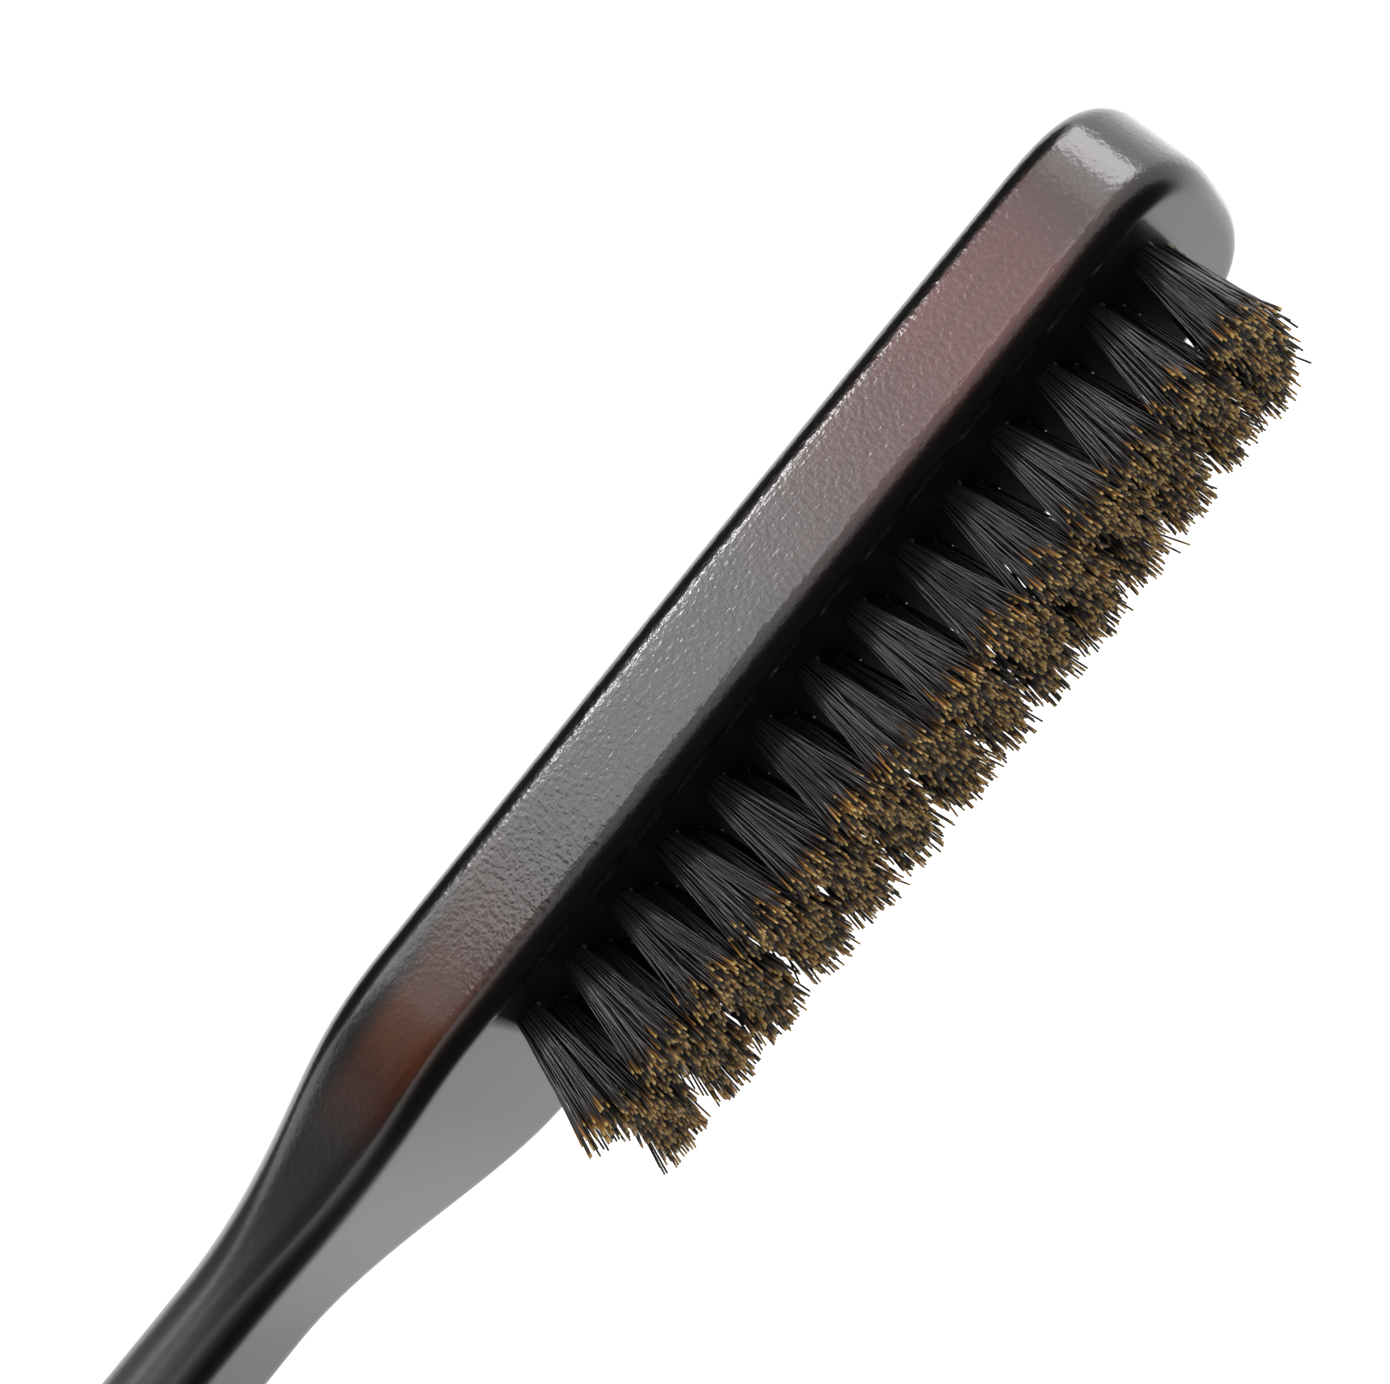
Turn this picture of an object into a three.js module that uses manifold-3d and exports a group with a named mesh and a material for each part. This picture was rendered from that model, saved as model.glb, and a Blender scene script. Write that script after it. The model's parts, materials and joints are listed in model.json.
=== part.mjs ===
// Beard brush: one wooden body (head, neck and handle) with 70 blind holes in the head,
// each holding a folded tuft of boar bristle.
// Millimetres. The brush lies on its flat back, bristles up (+Z), handle towards -X,
// head towards +X. The origin is under the middle of the brush, on the surface it lies on.

import * as THREE from "three";
import { mergeVertices } from "three/addons/utils/BufferGeometryUtils.js";
import Module from "manifold-3d";

// Tuft field
const tuftLines = 14; // lines of tufts across the head, counted from the tip
const tuftRows = 5; // rows of tufts along the head
const linePitch = 6.0; // from line to line, along the head
const rowPitch = 3.7; // from row to row, across the head
const lineBow = 1.6; // how far the middle of a line stands towards the tip
const tipMargin = 9.0; // from the head's tip to the first line's outer tufts
const neckMargin = 3.7; // from the last line's outer tufts to the start of the neck

// Head
const headWidth = 30.0;
const headThickness = 11.2;
const tipRound = 12.5; // length of the rounded tip
const tipPower = 3.0; // 2 is an ellipse, higher is squarer
const headFaceEdge = 2.5; // radius of the edge round the bristle face
const headBackEdge = 2.4; // radius of the edge round the back
const tipLift = 0.4; // the back rises this much at the tip
const tipLiftLength = 55.0; // and is flat from this far behind the tip

// Neck
const neckLength = 33.5; // from the end of the head to the narrowest place
const neckWidth = 15.3;
const neckHeadEase = 11.0; // how gently the sides leave the head
const neckHandleEase = 16.0; // how gently they reach the narrowest place
const faceDropDelay = 6.0; // the face starts to dip this far into the neck

// Handle
const overallLength = 186.0;
const handleWidth = 18.0;
const handleThickness = 7.6;
const handleLift = 1.2; // the handle's back clears the surface by this much
const handleEndRound = 14.0; // length of the rounded end
const handleEndPower = 2.4;
const handleFaceEdge = 3.0;
const handleBackEdge = 3.6;

// Tufts and their holes
const holeDiameter = 2.4;
const holeDepth = 6.0;
const drillPoint = 0.7; // depth of the drill's cone below the hole's full depth
const tuftClearance = 0.15; // between a tuft's root and the wall of its hole
const rootGap = 0.5; // room under a tuft's root for its anchor wire
const tuftLength = 12.8; // bristle standing above the face, at the tuft's edge
const tuftCrown = 0.4; // how much longer the middle of a tuft is
const tuftSpread = 9.0; // degrees that a tuft's side leans out
const tuftGap = 0.3; // between the groups of tufts
const neckLean = 8.0; // degrees that the last line leans towards the handle
const leanLines = 3; // lines over which that lean fades out

// Fineness
const tipSteps = 10;
const liftSteps = 4;
const neckSteps = 12;
const handleSteps = 6;
const endSteps = 8;
const backEdgeSteps = 5;
const faceEdgeSteps = 4;
const holeSides = 12;
const tuftSides = 12;
const drillOverrun = 1.0;

// Places along the brush, measured from the head's tip
const headEnd = tipMargin + (tuftLines - 1) * linePitch + neckMargin;
const neckAt = headEnd + neckLength;
const handleFaceHeight = handleLift + handleThickness;
const outerRow = ((tuftRows - 1) / 2) * rowPitch;

const wasm = await Module();
wasm.setup();

const lacqueredWood = () =>
  new THREE.MeshStandardMaterial({ color: 0x2a1512, roughness: 0.22, metalness: 0 });
const boarBristle = () =>
  new THREE.MeshStandardMaterial({ color: 0x17130f, roughness: 0.6, metalness: 0 });

// Turns a distance from the head's tip into a place along X.
function placeAt(fromTip) {
  return overallLength / 2 - fromTip;
}

// 0 before the first place, 1 after the second, and a smooth rise between them.
function ease(fromTip, start, end) {
  const t = THREE.MathUtils.clamp((fromTip - start) / (end - start), 0, 1);
  return t * t * (3 - 2 * t);
}

// A value that changes along the neck, from the head's to the handle's.
function mix(headValue, handleValue, x) {
  const fromTip = overallLength / 2 - x;
  return THREE.MathUtils.lerp(headValue, handleValue, ease(fromTip, headEnd + faceDropDelay, neckAt));
}

// Height of the back: flat under the head, rising at the tip and along the neck.
function backHeight(x) {
  const fromTip = overallLength / 2 - x;
  return mix(0, handleLift, x) + tipLift * (1 - ease(fromTip, 0, tipLiftLength));
}

// A quarter of a squared-off ellipse, from its end on the axis (0) to its side (1).
function quarterPoint(share, length, halfWidth, power) {
  const angle = (share * Math.PI) / 2;
  const along = share === 1 ? 0 : Math.cos(angle) ** (2 / power);
  const across = share === 0 ? 0 : Math.sin(angle) ** (2 / power);
  return [length * along, halfWidth * across];
}

// The left side of the brush seen from above, from the tip to the end of the handle.
function sideOutline() {
  const headHalf = headWidth / 2;
  const neckHalf = neckWidth / 2;
  const handleHalf = handleWidth / 2;
  const handleEndAt = overallLength - handleEndRound;
  const handleEase = (handleEndAt - neckAt) / 3;
  const points = [];
  for (let i = 0; i <= tipSteps; i += 1) {
    const [along, across] = quarterPoint(i / tipSteps, tipRound, headHalf, tipPower);
    points.push(new THREE.Vector2(placeAt(tipRound - along), across));
  }
  for (let i = 1; i <= liftSteps; i += 1) {
    const fromTip = THREE.MathUtils.lerp(tipRound, tipLiftLength, i / liftSteps);
    points.push(new THREE.Vector2(placeAt(fromTip), headHalf));
  }
  const neck = new THREE.CubicBezierCurve(
    new THREE.Vector2(placeAt(headEnd), headHalf),
    new THREE.Vector2(placeAt(headEnd + neckHeadEase), headHalf),
    new THREE.Vector2(placeAt(neckAt - neckHandleEase), neckHalf),
    new THREE.Vector2(placeAt(neckAt), neckHalf),
  );
  const handle = new THREE.CubicBezierCurve(
    new THREE.Vector2(placeAt(neckAt), neckHalf),
    new THREE.Vector2(placeAt(neckAt + handleEase), neckHalf),
    new THREE.Vector2(placeAt(handleEndAt - handleEase), handleHalf),
    new THREE.Vector2(placeAt(handleEndAt), handleHalf),
  );
  points.push(...neck.getPoints(neckSteps));
  points.push(...handle.getPoints(handleSteps).slice(1));
  for (let i = endSteps - 1; i >= 0; i -= 1) {
    const [along, across] = quarterPoint(i / endSteps, handleEndRound, handleHalf, handleEndPower);
    points.push(new THREE.Vector2(placeAt(handleEndAt + along), across));
  }
  return points;
}

// The whole outline, anticlockwise: left side from tip to handle end, then the right side back.
function fullOutline() {
  const left = sideOutline();
  const right = left.slice(1, -1).reverse();
  return [...left, ...right.map((point) => new THREE.Vector2(point.x, -point.y))];
}

// Outward direction of the outline at each of its points.
function outlineNormals(outline) {
  const count = outline.length;
  return outline.map((point, i) => {
    const before = outline[(i + count - 1) % count];
    const after = outline[(i + 1) % count];
    const run = new THREE.Vector2().subVectors(after, before).normalize();
    return new THREE.Vector2(run.y, -run.x);
  });
}

// Height of the face the bristles stand on, and of the handle's front.
function faceHeight(x) {
  return mix(headThickness, handleFaceHeight, x);
}

// Radii of the edges round the back and the face. A wall too thin for both is shared between them.
function backEdge(x) {
  return mix(headBackEdge, handleBackEdge, x) * edgeShare(x);
}

function faceEdge(x) {
  return mix(headFaceEdge, handleFaceEdge, x) * edgeShare(x);
}

function edgeShare(x) {
  const wanted = mix(headBackEdge + headFaceEdge, handleBackEdge + handleFaceEdge, x);
  return Math.min(1, (faceHeight(x) - backHeight(x)) / wanted);
}

// How far in from the outline each level of the side is, and its height at a given place.
function sideLevels() {
  const levels = [];
  for (let i = 0; i <= backEdgeSteps; i += 1) {
    const angle = (i / backEdgeSteps) * (Math.PI / 2);
    levels.push({
      inset: (x) => backEdge(x) * (1 - Math.sin(angle)),
      height: (x) => backHeight(x) + backEdge(x) * (1 - Math.cos(angle)),
    });
  }
  for (let i = 0; i <= faceEdgeSteps; i += 1) {
    const angle = (i / faceEdgeSteps) * (Math.PI / 2);
    levels.push({
      inset: (x) => faceEdge(x) * (1 - Math.cos(angle)),
      height: (x) => faceHeight(x) - faceEdge(x) * (1 - Math.sin(angle)),
    });
  }
  return levels;
}

// The undrilled wooden body: rings round the outline, closed by the back and the face.
function bodyBlank() {
  const outline = fullOutline();
  const normals = outlineNormals(outline);
  const levels = sideLevels();
  const count = outline.length;
  const half = count / 2;
  const positions = [];
  for (const level of levels) {
    outline.forEach((point, i) => {
      const inset = level.inset(point.x);
      const x = point.x + normals[i].x * -inset;
      const y = point.y + normals[i].y * -inset;
      positions.push(x, y, level.height(x));
    });
  }
  const triangles = [];
  for (let ring = 0; ring < levels.length - 1; ring += 1) {
    for (let i = 0; i < count; i += 1) {
      const low = ring * count + i;
      const lowNext = ring * count + ((i + 1) % count);
      triangles.push(low, lowNext, low + count, lowNext, lowNext + count, low + count);
    }
  }
  const top = (levels.length - 1) * count;
  for (let i = 0; i < half; i += 1) {
    const left = i;
    const leftNext = i + 1;
    const right = (count - i) % count;
    const rightNext = count - i - 1;
    if (left !== right) {
      triangles.push(top + left, top + leftNext, top + right);
      triangles.push(left, right, leftNext);
    }
    if (leftNext !== rightNext) {
      triangles.push(top + right, top + leftNext, top + rightNext);
      triangles.push(right, rightNext, leftNext);
    }
  }
  const geometry = new THREE.BufferGeometry();
  geometry.setAttribute("position", new THREE.Float32BufferAttribute(positions, 3));
  geometry.setIndex(triangles);
  return geometry;
}

// Where each hole stands on the face; rows run from left (+Y) to right.
function holeAt(line, row) {
  const across = outerRow - row * rowPitch;
  return new THREE.Vector2(lineMiddle(line) + bowAt(across), across);
}

function lineMiddle(line) {
  return placeAt(tipMargin + line * linePitch);
}

function bowAt(across) {
  return lineBow * (1 - (across / outerRow) ** 2);
}

function toSolid(geometry) {
  const bare = geometry.clone();
  bare.deleteAttribute("normal");
  bare.deleteAttribute("uv");
  const merged = mergeVertices(bare);
  const vertProperties = new Float32Array(merged.attributes.position.array);
  const triVerts = new Uint32Array(merged.index.array);
  return new wasm.Manifold(new wasm.Mesh({ numProp: 3, vertProperties, triVerts }));
}

function toGeometry(solid) {
  const mesh = solid.getMesh();
  const geometry = new THREE.BufferGeometry();
  geometry.setAttribute("position", new THREE.Float32BufferAttribute(mesh.vertProperties, 3));
  geometry.setIndex(new THREE.Uint32BufferAttribute(mesh.triVerts, 1));
  geometry.computeVertexNormals();
  return geometry;
}

// A turned shape standing up from the XY plane, from a profile of [radius, height] points.
function turned(profile, sides) {
  const points = profile.map(([radius, height]) => new THREE.Vector2(radius, height));
  return new THREE.LatheGeometry(points, sides).rotateX(Math.PI / 2);
}

function drillShape() {
  const radius = holeDiameter / 2;
  return turned(
    [
      [0, -holeDepth - drillPoint],
      [radius, -holeDepth],
      [radius, drillOverrun],
      [0, drillOverrun],
    ],
    holeSides,
  );
}

function brushBody() {
  const drill = drillShape();
  let body = toSolid(bodyBlank());
  for (let line = 0; line < tuftLines; line += 1) {
    for (let row = 0; row < tuftRows; row += 1) {
      const hole = holeAt(line, row);
      body = body.subtract(toSolid(drill.clone().translate(hole.x, hole.y, headThickness)));
    }
  }
  const mesh = new THREE.Mesh(toGeometry(body), lacqueredWood());
  mesh.name = "brush_body";
  return mesh;
}

// One tuft on its own: a straight root in the hole and a flared, slightly domed brush above it.
function tuftShape() {
  const rootRadius = holeDiameter / 2 - tuftClearance;
  const tipRadius = rootRadius + tuftLength * Math.tan(THREE.MathUtils.degToRad(tuftSpread));
  return turned(
    [
      [0, rootGap - holeDepth],
      [rootRadius, rootGap - holeDepth],
      [rootRadius, 0],
      [tipRadius, tuftLength],
      [0, tuftLength + tuftCrown],
    ],
    tuftSides,
  );
}

// The room that a group of tufts has between its neighbours. Its long sides follow the bowed line.
function groupRoom(line, rows) {
  const spread = tuftLength; // more than any tuft leans out, so the outer sides stay free
  const firstRow = rows[0];
  const lastRow = rows[rows.length - 1];
  const leftLimit = outerRow - (firstRow - 0.5) * rowPitch - tuftGap / 2;
  const rightLimit = outerRow - (lastRow + 0.5) * rowPitch + tuftGap / 2;
  const left = firstRow === 0 ? outerRow + spread : leftLimit;
  const right = lastRow === tuftRows - 1 ? -outerRow - spread : rightLimit;
  const forward = line === 0 ? spread : (linePitch - tuftGap) / 2;
  const back = line === tuftLines - 1 ? spread : (linePitch - tuftGap) / 2;
  const crossings = [left];
  for (const row of rows) {
    crossings.push(outerRow - row * rowPitch);
  }
  crossings.push(right);
  const bowed = crossings.map((across) => {
    const inField = THREE.MathUtils.clamp(across, -outerRow, outerRow);
    return new THREE.Vector2(lineMiddle(line) + bowAt(inField), across);
  });
  const front = bowed.map((point) => new THREE.Vector2(point.x + forward, point.y));
  const rear = bowed.map((point) => new THREE.Vector2(point.x - back, point.y));
  const shape = new THREE.Shape([...front.reverse(), ...rear]);
  const height = holeDepth + tuftLength + 2 * tuftCrown;
  return new THREE.ExtrudeGeometry(shape, { depth: height, bevelEnabled: false }).translate(0, 0, -holeDepth);
}

// The last lines lean towards the handle, more so the nearer they are to it.
function leanOf(line) {
  const linesFromLast = tuftLines - 1 - line;
  const share = Math.max(0, 1 - linesFromLast / leanLines);
  return Math.tan(THREE.MathUtils.degToRad(neckLean * share));
}

function leanOver(geometry, slope) {
  const position = geometry.attributes.position;
  for (let i = 0; i < position.count; i += 1) {
    const above = Math.max(0, position.getZ(i));
    position.setX(i, position.getX(i) - slope * above);
  }
  return geometry;
}

// Neighbouring tufts whose bristles run into each other are one solid.
function tuftGroup(name, line, rows) {
  let tufts = null;
  for (const row of rows) {
    const hole = holeAt(line, row);
    const tuft = toSolid(tuftShape().translate(hole.x, hole.y, 0));
    tufts = tufts === null ? tuft : tufts.add(tuft);
  }
  const trimmed = tufts.intersect(toSolid(groupRoom(line, rows)));
  const mesh = new THREE.Mesh(leanOver(toGeometry(trimmed), leanOf(line)), boarBristle());
  mesh.name = name;
  mesh.position.z = headThickness;
  return mesh;
}

const rowGroups = { left: [0, 1], centre: [2], right: [3, 4] };

const brush = new THREE.Group();
brush.add(brushBody());
for (let line = 0; line < tuftLines; line += 1) {
  const number = String(line + 1).padStart(2, "0");
  for (const [side, rows] of Object.entries(rowGroups)) {
    brush.add(tuftGroup(`tufts_${number}_${side}`, line, rows));
  }
}

export default brush;
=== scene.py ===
# A beard brush: one stained and lacquered wooden body, 70 boar bristle tufts and the wires that hold them.
import bpy
import json
import math
import random
from mathutils import Matrix, Vector, noise

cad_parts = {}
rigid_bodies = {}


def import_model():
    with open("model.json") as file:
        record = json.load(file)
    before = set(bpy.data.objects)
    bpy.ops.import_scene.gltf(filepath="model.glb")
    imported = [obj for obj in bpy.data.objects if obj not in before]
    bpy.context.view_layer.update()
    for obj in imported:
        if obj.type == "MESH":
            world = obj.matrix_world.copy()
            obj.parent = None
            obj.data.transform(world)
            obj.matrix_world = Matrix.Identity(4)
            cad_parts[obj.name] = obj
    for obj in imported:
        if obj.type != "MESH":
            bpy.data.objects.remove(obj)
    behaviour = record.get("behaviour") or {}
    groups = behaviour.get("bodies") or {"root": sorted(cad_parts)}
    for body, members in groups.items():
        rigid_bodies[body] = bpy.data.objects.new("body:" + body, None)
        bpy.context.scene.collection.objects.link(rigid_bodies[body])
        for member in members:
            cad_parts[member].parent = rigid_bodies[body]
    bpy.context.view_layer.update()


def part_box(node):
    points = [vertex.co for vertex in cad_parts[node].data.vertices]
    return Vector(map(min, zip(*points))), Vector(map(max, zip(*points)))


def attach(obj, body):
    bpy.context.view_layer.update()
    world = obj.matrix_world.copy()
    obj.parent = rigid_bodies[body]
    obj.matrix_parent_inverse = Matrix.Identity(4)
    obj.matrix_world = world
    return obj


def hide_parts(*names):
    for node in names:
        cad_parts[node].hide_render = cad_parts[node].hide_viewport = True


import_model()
scene = bpy.context.scene

mm = 0.001
bodyLow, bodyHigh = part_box("brush_body")

# The field of tufts, in millimetres from the head's tip
tuftField = {
    "lines": 14,
    "rows": 5,
    "linePitch": 6.0,
    "rowPitch": 3.7,
    "lineBow": 1.6,       # the middle of a line stands this far towards the tip
    "tipMargin": 9.0,
    "neckMargin": 3.7,
    "holeDiameter": 2.4,
    "holeDepth": 6.0,
    "drillPoint": 0.7,
    "drillAbove": 1.0,    # the bit starts this far above the face, so the cut is clean
}

# The wooden body. Its overall length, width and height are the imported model's.
brushBody = {
    "length": (bodyHigh.x - bodyLow.x) / mm,
    "headWidth": (bodyHigh.y - bodyLow.y) / mm,
    "headThickness": bodyHigh.z / mm,
    "tipRound": 12.5,
    "tipPower": 3.0,      # 2 is an ellipse, higher is squarer
    "headFaceEdge": 2.5,
    "headBackEdge": 2.4,
    "tipLift": 0.4,
    "tipLiftLength": 55.0,
    "neckLength": 33.5,
    "neckWidth": 15.3,
    "neckHeadEase": 11.0,
    "neckHandleEase": 16.0,
    "faceDropDelay": 6.0,
    "handleWidth": 18.0,
    "handleThickness": 7.6,
    "handleLift": 1.2,
    "handleEndRound": 14.0,
    "handleEndPower": 2.4,
    "handleFaceEdge": 3.0,
    "handleBackEdge": 3.6,
    "flatBorder": 0.5,    # a flat ring inside each rounded edge, so the flats stay flat to the eye
    "sandingWave": 0.05,  # how far hand sanding leaves the sides from true
    "waveLength": 24.0,
    "sharpAngle": 35,     # degrees from which an edge is drawn crisp: the rims of the holes
}

# Steps along and round the body
bodyFineness = {"tip": 56, "lift": 12, "neck": 48, "handle": 24, "end": 36, "edge": 10, "wall": 6, "hole": 24}


def linearColour(hexColour):
    # Turns an sRGB hex colour into the linear values that shaders take
    parts = [int(hexColour[i:i + 2], 16) / 255 for i in (1, 3, 5)]
    return [c / 12.92 if c <= 0.04045 else ((c + 0.055) / 1.055) ** 2.4 for c in parts] + [1.0]


def addNode(tree, kind, links=None, **settings):
    # Adds a node with its settings. A link is a value, an output, or a node, which gives its first live output.
    node = tree.nodes.new(kind)
    for name, value in settings.items():
        setattr(node, name, value)
    for name, value in (links or {}).items():
        if isinstance(name, int):
            socket = node.inputs[name]
        else:
            socket = [s for s in node.inputs if s.name == name and s.enabled][0]
        if isinstance(value, bpy.types.Node):
            value = [s for s in value.outputs if s.enabled][0]
        if isinstance(value, bpy.types.NodeSocket):
            tree.links.new(value, socket)
        else:
            socket.default_value = value
    return node


def newMaterial(name):
    material = bpy.data.materials.new(name)
    material.use_nodes = True
    material.node_tree.nodes.clear()
    return material, material.node_tree


def makeObject(name, mesh, material=None):
    made = bpy.data.objects.new(name, mesh)
    scene.collection.objects.link(made)
    if material is not None:
        mesh.materials.append(material)
    return made


def plainMesh(source, name):
    # The evaluated object, modifiers and all, as a plain mesh
    bpy.context.view_layer.update()
    graph = bpy.context.evaluated_depsgraph_get()
    mesh = bpy.data.meshes.new_from_object(source.evaluated_get(graph), depsgraph=graph)
    mesh.name = name
    return mesh


# ---- Camera

cameraPlace = {
    "location": (0.059496, 0.264546, 0.113388),
    "azimuth": 174.49,    # 0 looks along +Y
    "elevation": 22.79,
    "roll": 130.96,       # the brush is held aslant, tip up
    "lens": 89.61,
    "sensor": 36.0,
}


def makeCamera():
    place = cameraPlace
    azimuth, elevation, roll = (math.radians(place[k]) for k in ("azimuth", "elevation", "roll"))
    back = Vector((math.sin(azimuth) * math.cos(elevation), -math.cos(azimuth) * math.cos(elevation),
                   math.sin(elevation)))
    level = Vector((math.cos(azimuth), math.sin(azimuth), 0))
    upright = back.cross(level)
    right = level * math.cos(roll) + upright * math.sin(roll)
    up = back.cross(right)
    data = bpy.data.cameras.new("camera")
    data.lens = place["lens"]
    data.sensor_width = place["sensor"]
    data.sensor_fit = "HORIZONTAL"
    data.clip_start = 0.01
    camera = bpy.data.objects.new("camera", data)
    scene.collection.objects.link(camera)
    turn = Matrix((right, up, back)).transposed().to_4x4()
    camera.matrix_world = Matrix.Translation(place["location"]) @ turn
    scene.camera = camera
    print("camera", [round(c, 3) for c in right], [round(c, 3) for c in up])


# ---- Studio

studio = {
    "floorDrop": 0.35,    # the brush is held this far above the table
    "floorSize": 14.0,
    "floorGlow": 1.0,     # the table is lit from below
    "floorWhite": "#f2f2f0",
    "cardBlack": "#0a0807",
    "aim": (0.03, 0, 0.005),  # the place on the brush that the softboxes face
    "wallGlow": 0.88,     # the white studio walls, up to this height above the horizon
    "wallTop": 0.42,
    "wallFade": 0.30,
    "ceilingGlow": 0.04,
}

# Each softbox: where it is, its width and height, and its strength in watts. All face the brush.
softboxes = {
    "lowFront": {"location": (-0.16, 0.52, -0.2), "size": (0.38, 0.3), "watts": 0.46},
    "lowMiddle": {"location": (0.05, 0.52, -0.2), "size": (0.06, 0.3), "watts": 0.03},
    "upperStrip": {"location": (0.08, 0.5, -0.07), "size": (0.36, 0.03), "watts": 0.085},
    "lowTip": {"location": (0.42, 0.24, -0.17), "size": (0.24, 0.2), "watts": 0.72},
    "lowTipFill": {"location": (0.3, 0.4, -0.17), "size": (0.2, 0.2), "watts": 0.13},
    "strip": {"location": (0.01, 0.40, -0.29), "size": (0.12, 0.014), "watts": 0.34},
}

# Black cards that only reflections see: one beside the neck, one lying on the table in front of the brush.
# Each faces its aim.
cards = {
    "black_card_side": {"location": (-0.203, 0.285, -0.01), "aim": (-0.01, 0.01, -0.01), "size": (0.34, 0.32)},
    "black_card_low": {"location": (0.02, 0.19, -0.34), "aim": (0.02, 0.19, 0), "size": (0.7, 0.46)},
}


def makeStudio():
    half = studio["floorSize"] / 2
    drop = -studio["floorDrop"]
    corners = [(-half, -half, drop), (half, -half, drop), (half, half, drop), (-half, half, drop)]
    mesh = bpy.data.meshes.new("studio_table")
    mesh.from_pydata(corners, [], [(0, 1, 2, 3)])
    material, tree = newMaterial("opal acrylic")  # a light table: white, even, no texture
    surface = addNode(tree, "ShaderNodeBsdfPrincipled", {
        "Base Color": linearColour(studio["floorWhite"]), "Roughness": 0.6,
        "Emission Color": linearColour("#ffffff"), "Emission Strength": studio["floorGlow"]})
    addNode(tree, "ShaderNodeOutputMaterial", {"Surface": surface})
    makeObject("studio_table", mesh, material)

    world = bpy.data.worlds.new("studio")
    world.use_nodes = True
    scene.world = world
    tree = world.node_tree
    tree.nodes.clear()
    direction = addNode(tree, "ShaderNodeTexCoord")
    height = addNode(tree, "ShaderNodeSeparateXYZ", {0: direction.outputs["Generated"]})
    glow = addNode(tree, "ShaderNodeMapRange", {
        "Value": height.outputs["Z"], "From Min": studio["wallTop"],
        "From Max": studio["wallTop"] + studio["wallFade"],
        "To Min": studio["wallGlow"], "To Max": studio["ceilingGlow"]}, interpolation_type="SMOOTHSTEP")
    light = addNode(tree, "ShaderNodeBackground", {"Color": linearColour("#ffffff"), "Strength": glow})
    addNode(tree, "ShaderNodeOutputWorld", {"Surface": light})

    for name, box in softboxes.items():
        data = bpy.data.lights.new(name, "AREA")
        data.shape = "RECTANGLE"
        data.size, data.size_y = box["size"]
        data.energy = box["watts"]
        lamp = bpy.data.objects.new(name, data)
        scene.collection.objects.link(lamp)
        lamp.location = box["location"]
        aim = Vector(studio["aim"]) - Vector(box["location"])
        lamp.rotation_euler = aim.to_track_quat("-Z", "Y").to_euler()
        lamp.visible_camera = False

    material, tree = newMaterial("black card")  # matt board
    surface = addNode(tree, "ShaderNodeBsdfPrincipled", {
        "Base Color": linearColour(studio["cardBlack"]), "Roughness": 1.0})
    addNode(tree, "ShaderNodeOutputMaterial", {"Surface": surface})
    for name, card in cards.items():
        wide, high = card["size"][0] / 2, card["size"][1] / 2
        place = Vector(card["location"])
        turn = (Vector(card["aim"]) - place).to_track_quat("Z", "Y")
        corners = [place + turn @ Vector(c)
                   for c in ((-wide, -high, 0), (wide, -high, 0), (wide, high, 0), (-wide, high, 0))]
        mesh = bpy.data.meshes.new(name)
        mesh.from_pydata(corners, [], [(0, 1, 2, 3)])
        made = makeObject(name, mesh, material)
        made.visible_camera = False
    scene.view_settings.view_transform = "Standard"
    print("studio: table, walls,", len(softboxes), "softboxes and", len(cards), "cards")


# ---- Shape of the body, in millimetres

headEnd = tuftField["tipMargin"] + (tuftField["lines"] - 1) * tuftField["linePitch"] + tuftField["neckMargin"]
neckAt = headEnd + brushBody["neckLength"]
outerRow = (tuftField["rows"] - 1) / 2 * tuftField["rowPitch"]


def placeAt(fromTip):
    return brushBody["length"] / 2 - fromTip


def ease(fromTip, start, end):
    share = min(max((fromTip - start) / (end - start), 0), 1)
    return share * share * (3 - 2 * share)


def alongNeck(headValue, handleValue, x):
    share = ease(brushBody["length"] / 2 - x, headEnd + brushBody["faceDropDelay"], neckAt)
    return headValue + (handleValue - headValue) * share


def backHeight(x):
    rise = 1 - ease(brushBody["length"] / 2 - x, 0, brushBody["tipLiftLength"])
    return alongNeck(0, brushBody["handleLift"], x) + brushBody["tipLift"] * rise


def faceHeight(x):
    return alongNeck(brushBody["headThickness"], brushBody["handleLift"] + brushBody["handleThickness"], x)


def quarterPoint(share, length, halfWidth, power):
    angle = share * math.pi / 2
    along = max(math.cos(angle), 0) ** (2 / power)
    return length * along, halfWidth * math.sin(angle) ** (2 / power)


def curvePoints(a, b, c, d, steps):
    points = []
    for i in range(steps + 1):
        t = i / steps
        u = 1 - t
        weights = (u ** 3, 3 * u * u * t, 3 * u * t * t, t ** 3)
        points.append(tuple(sum(w * p[k] for w, p in zip(weights, (a, b, c, d))) for k in (0, 1)))
    return points


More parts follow.
